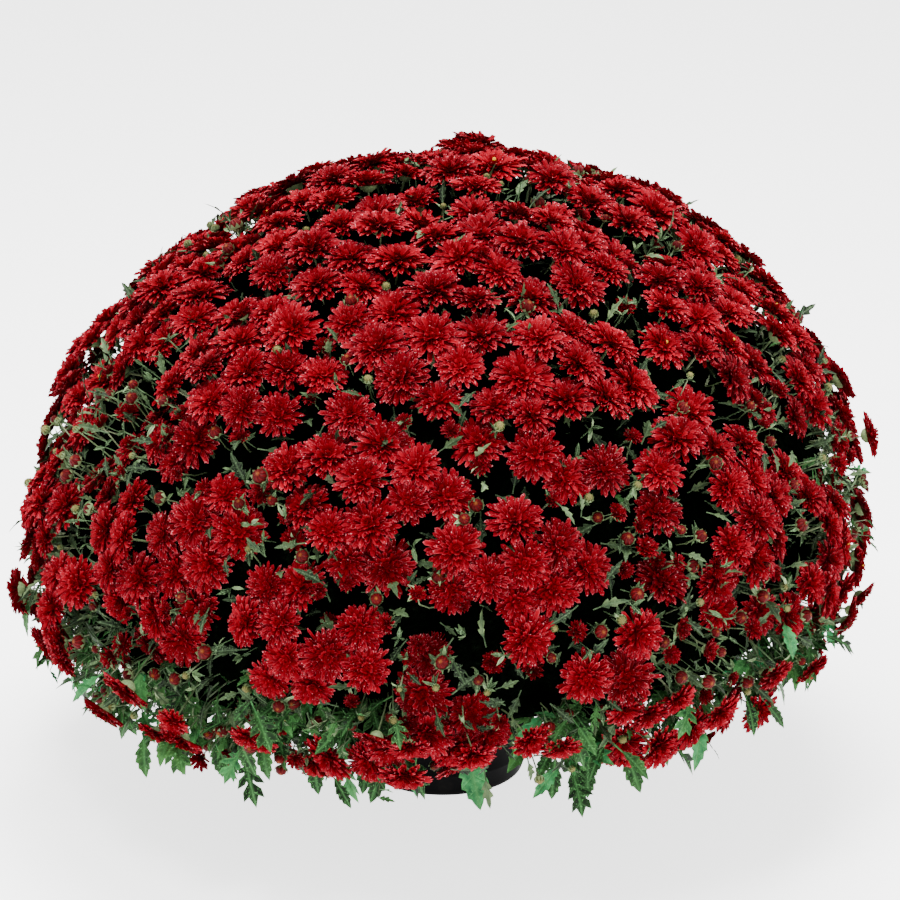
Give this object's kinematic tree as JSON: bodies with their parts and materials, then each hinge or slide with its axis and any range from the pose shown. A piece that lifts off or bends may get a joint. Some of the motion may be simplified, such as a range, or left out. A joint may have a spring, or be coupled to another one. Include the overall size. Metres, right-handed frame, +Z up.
{
  "type": "potted garden chrysanthemum",
  "caption": "Wide dome of deep red double chrysanthemum flowers over a leafy green bush, grown from rooted cuttings in a round black nursery pot.",
  "frame": {"origin": "centre of the pot's flat base, on the surface the pot stands on", "axes": "+Z is up along the pot's axis, and the picture's view looks along +Y with +X to the right"},
  "size_m": [0.7458, 0.7371, 0.5699],
  "materials": {
    "petals": "matt",
    "foliage": "satin",
    "pot": "matt",
    "soil": "rough"
  },
  "bodies": {
    "root": {"flower_spray_01": "petals", "flower_spray_02": "petals", "flower_spray_03": "petals", "flower_spray_04": "petals", "flower_spray_05": "petals", "flower_spray_06": "petals", "flower_spray_07": "petals", "flower_spray_08": "petals", "flower_spray_09": "petals", "flower_spray_10": "petals", "flower_spray_11": "petals", "flower_spray_12": "petals", "flower_spray_13": "petals", "flower_spray_14": "petals", "flower_spray_15": "petals", "flower_spray_16": "petals", "flower_spray_17": "petals", "flower_spray_18": "petals", "flower_spray_19": "petals", "flower_spray_20": "petals", "flower_spray_21": "petals", "flower_spray_22": "petals", "flower_spray_23": "petals", "flower_spray_24": "petals", "flower_spray_25": "petals", "flower_spray_26": "petals", "flower_spray_27": "petals", "flower_spray_28": "petals", "flower_spray_29": "petals", "flower_spray_30": "petals", "flower_spray_31": "petals", "flower_spray_32": "petals", "flower_spray_33": "petals", "flower_spray_34": "petals", "flower_spray_35": "petals", "flower_spray_36": "petals", "flower_spray_37": "petals", "flower_spray_38": "petals", "flower_spray_39": "petals", "flower_spray_40": "petals", "flower_spray_41": "petals", "flower_spray_42": "petals", "flower_spray_43": "petals", "flower_spray_44": "petals", "flower_spray_45": "petals", "nursery_pot": "pot", "plant_1_foliage": "foliage", "plant_2_foliage": "foliage", "plant_3_foliage": "foliage", "plant_4_foliage": "foliage", "plant_5_foliage": "foliage", "potting_soil": "soil"}
  },
  "joints": []
}
